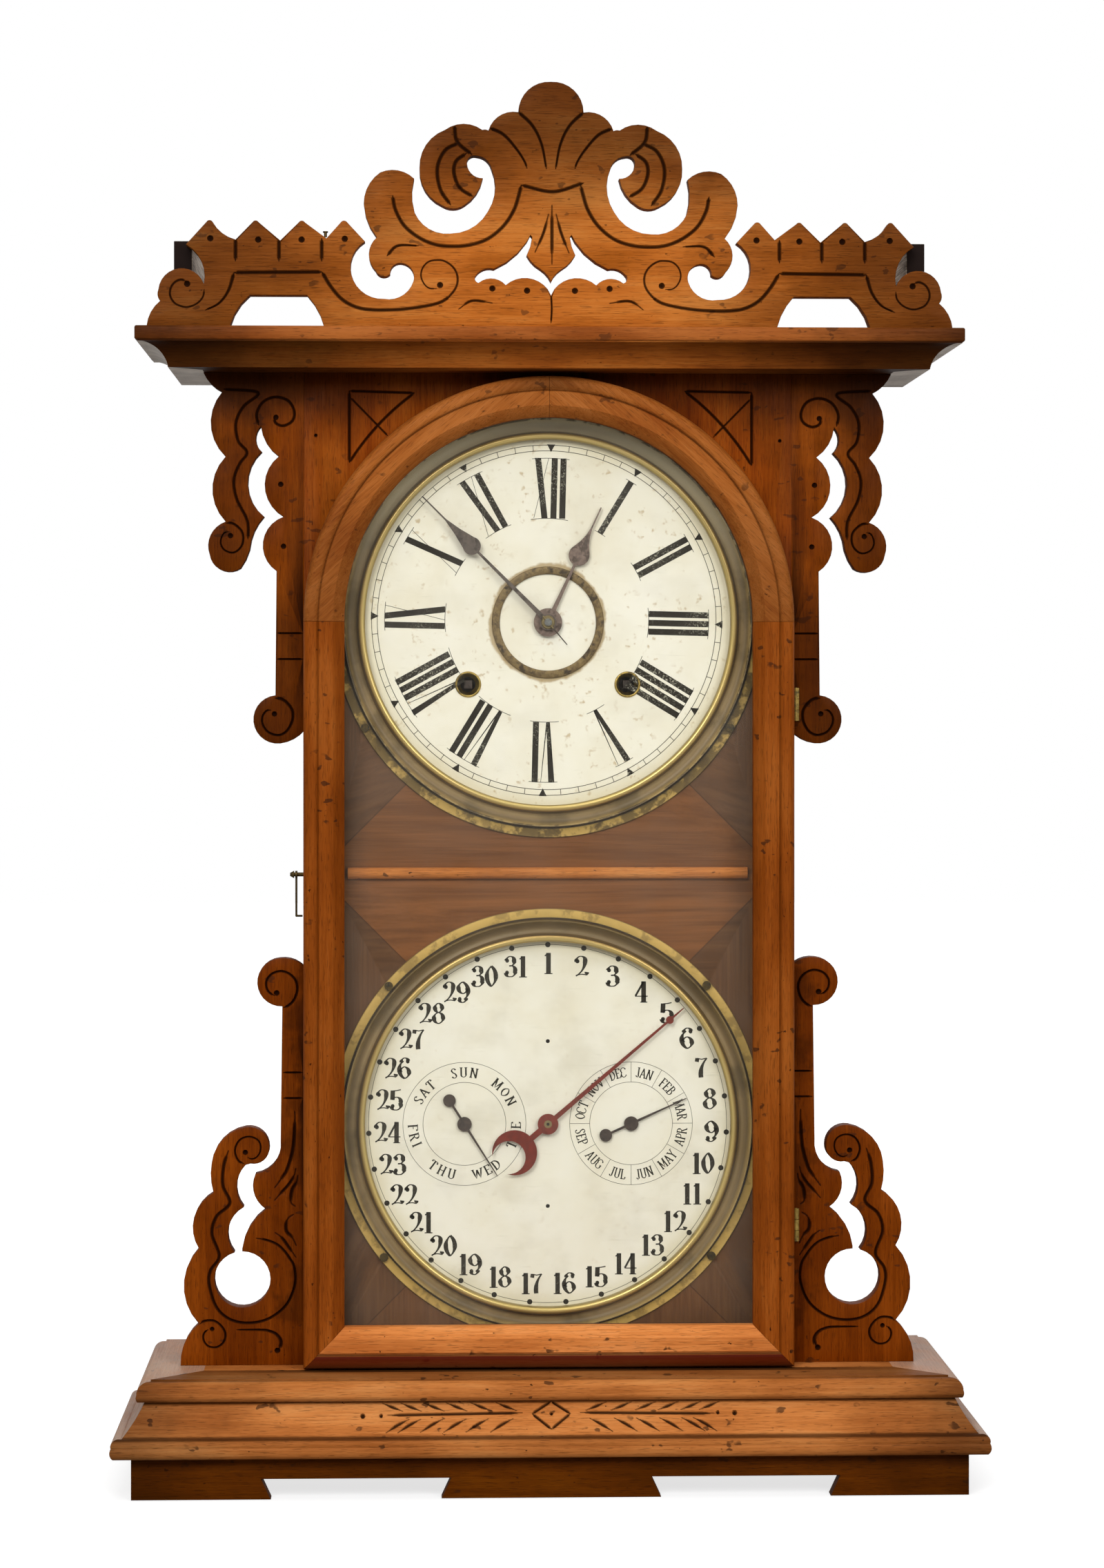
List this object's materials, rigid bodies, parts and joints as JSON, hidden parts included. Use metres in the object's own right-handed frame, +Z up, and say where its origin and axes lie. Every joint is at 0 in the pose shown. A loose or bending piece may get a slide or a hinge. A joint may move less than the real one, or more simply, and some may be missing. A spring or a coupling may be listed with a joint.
{
  "type": "calendar clock",
  "caption": "Free-standing walnut shelf clock with a time dial over a calendar dial behind one arched glass door, fretted crest and side brackets, and a stepped base.",
  "frame": {"origin": "middle of the footprint, on the surface that the clock stands on", "axes": "+Z up, the dials face -Y, +X to the right of someone facing the dials"},
  "size_m": [0.464, 0.15, 0.7493],
  "materials": {
    "walnut": "orange-brown shellac gloss",
    "stained_walnut": "dark stain",
    "dial_paper": "aged paper on a metal plate",
    "aged_brass": "tarnished",
    "movement_brass": "brushed",
    "steel": "bright",
    "blackened_steel": "brown-black, worn",
    "red_paint": "dull red",
    "glass": "clear, slightly dusty"
  },
  "bodies": {
    "case": {"plinth": "stained_walnut", "base_moulding": "walnut", "base_board": "walnut", "case_sides": "walnut", "backboard": "stained_walnut", "front_frame": "walnut", "dial_board_upper": "stained_walnut", "dial_board_lower": "stained_walnut", "divider_moulding": "walnut", "cornice_moulding": "walnut", "cornice_board": "walnut", "crest": "walnut", "crest_gallery_sides": "stained_walnut", "upper_bracket_left": "walnut", "upper_bracket_right": "walnut", "lower_bracket_left": "walnut", "lower_bracket_right": "walnut", "time_dial": "dial_paper", "calendar_dial": "dial_paper", "time_bezel": "aged_brass", "calendar_bezel": "aged_brass", "centre_ring": "aged_brass", "winding_grommets": "aged_brass", "bezel_screws": "aged_brass", "latch_screw": "aged_brass", "hinge_case_leaves": "aged_brass", "movement_plates": "movement_brass", "movement_pillars": "movement_brass", "mainsprings": "steel", "gong": "steel", "calendar_plate": "movement_brass"},
    "door": {"door_stile_left": "walnut", "door_stile_right": "walnut", "door_bottom_rail": "walnut", "door_arch_left": "walnut", "door_arch_right": "walnut", "door_glass": "glass", "glazing_strips": "stained_walnut", "hinge_door_leaves": "aged_brass"},
    "latch": {"latch_hook": "steel"},
    "minute_works": {"minute_hand": "blackened_steel", "hand_collet": "aged_brass", "cannon_pinion": "steel"},
    "motion_works": {"motion_wheel": "movement_brass"},
    "hour_works": {"hour_hand": "blackened_steel", "hour_wheel": "movement_brass"},
    "time_great": {"time_great_wheel": "movement_brass"},
    "time_winder": {"time_winding_arbor": "steel"},
    "second": {"second_wheel": "movement_brass"},
    "centre": {"centre_wheel": "movement_brass"},
    "third": {"third_wheel": "movement_brass"},
    "escape": {"escape_wheel": "movement_brass"},
    "verge_crutch": {"verge": "steel"},
    "pendulum_bob": {"pendulum": "movement_brass"},
    "strike_great": {"strike_great_wheel": "movement_brass"},
    "strike_winder": {"strike_winding_arbor": "steel"},
    "strike_hammer": {"hammer": "steel"},
    "date_works": {"date_hand": "red_paint"},
    "day_works": {"day_hand": "blackened_steel"},
    "month_works": {"month_hand": "blackened_steel"}
  },
  "joints": [
    {"name": "door_hinge", "type": "hinge", "parent": "case", "child": "door", "pos_m": [0.1341, -0.0147, 0.27805], "axis": [0, 0, 1], "range_deg": [0, 100]},
    {"name": "latch_pivot", "type": "hinge", "parent": "case", "child": "latch", "pos_m": [-0.1366, 0.0005, 0.3266], "axis": [-1, 0, 0], "range_deg": [-60, 90]},
    {"name": "minute_turn", "type": "hinge", "parent": "case", "child": "minute_works", "pos_m": [0, 0, 0.4636], "axis": [0, 1, 0], "continuous": true},
    {"name": "motion_turn", "type": "hinge", "parent": "case", "child": "motion_works", "pos_m": [0.0133, 0, 0.4636], "axis": [0, 1, 0], "continuous": true},
    {"name": "hour_turn", "type": "hinge", "parent": "case", "child": "hour_works", "pos_m": [0, 0, 0.4636], "axis": [0, 1, 0], "continuous": true},
    {"name": "escape_turn", "type": "hinge", "parent": "case", "child": "escape", "pos_m": [0, 0, 0.50931], "axis": [0, 1, 0], "continuous": true},
    {"name": "third_turn", "type": "hinge", "parent": "case", "child": "third", "pos_m": [0.01214, 0, 0.4885], "axis": [0, 1, 0], "continuous": true},
    {"name": "centre_turn", "type": "hinge", "parent": "case", "child": "centre", "pos_m": [0, 0, 0.4636], "axis": [0, 1, 0], "continuous": true},
    {"name": "second_turn", "type": "hinge", "parent": "case", "child": "second", "pos_m": [0.0278, 0, 0.45948], "axis": [0, 1, 0], "continuous": true},
    {"name": "time_great_turn", "type": "hinge", "parent": "case", "child": "time_great", "pos_m": [0.0433, 0, 0.4299], "axis": [0, 1, 0], "continuous": true},
    {"name": "time_wind", "type": "hinge", "parent": "case", "child": "time_winder", "pos_m": [0.0433, 0, 0.4299], "axis": [0, 1, 0], "continuous": true},
    {"name": "verge_rock", "type": "hinge", "parent": "case", "child": "verge_crutch", "pos_m": [0, 0, 0.53331], "axis": [0, 1, 0], "range_deg": [-4, 4]},
    {"name": "pendulum_swing", "type": "hinge", "parent": "case", "child": "pendulum_bob", "pos_m": [0, 0, 0.53331], "axis": [0, 1, 0], "range_deg": [-4, 4]},
    {"name": "strike_great_turn", "type": "hinge", "parent": "case", "child": "strike_great", "pos_m": [-0.0433, 0, 0.4299], "axis": [0, 1, 0], "continuous": true},
    {"name": "strike_wind", "type": "hinge", "parent": "case", "child": "strike_winder", "pos_m": [-0.0433, 0, 0.4299], "axis": [0, 1, 0], "continuous": true},
    {"name": "hammer_lift", "type": "hinge", "parent": "case", "child": "strike_hammer", "pos_m": [-0.0525, 0, 0.4096], "axis": [0, 1, 0], "range_deg": [0, 10]},
    {"name": "date_turn", "type": "hinge", "parent": "case", "child": "date_works", "pos_m": [0, 0, 0.1912], "axis": [0, 1, 0], "continuous": true},
    {"name": "day_turn", "type": "hinge", "parent": "case", "child": "day_works", "pos_m": [-0.0453, 0, 0.1912], "axis": [0, 1, 0], "continuous": true},
    {"name": "month_turn", "type": "hinge", "parent": "case", "child": "month_works", "pos_m": [0.0453, 0, 0.1912], "axis": [0, 1, 0], "continuous": true}
  ],
  "couplings": [
    {"joint": "motion_turn", "follows": "minute_turn", "ratio": -0.33333},
    {"joint": "hour_turn", "follows": "minute_turn", "ratio": 0.083333},
    {"joint": "third_turn", "follows": "escape_turn", "ratio": -0.11111},
    {"joint": "centre_turn", "follows": "escape_turn", "ratio": 0.010582},
    {"joint": "second_turn", "follows": "escape_turn", "ratio": -0.0017637},
    {"joint": "time_great_turn", "follows": "escape_turn", "ratio": 0.00021378},
    {"joint": "verge_rock", "follows": "pendulum_swing", "ratio": 1},
    {"joint": "day_turn", "follows": "date_turn", "ratio": 4.4286},
    {"joint": "month_turn", "follows": "date_turn", "ratio": 0.083333}
  ]
}
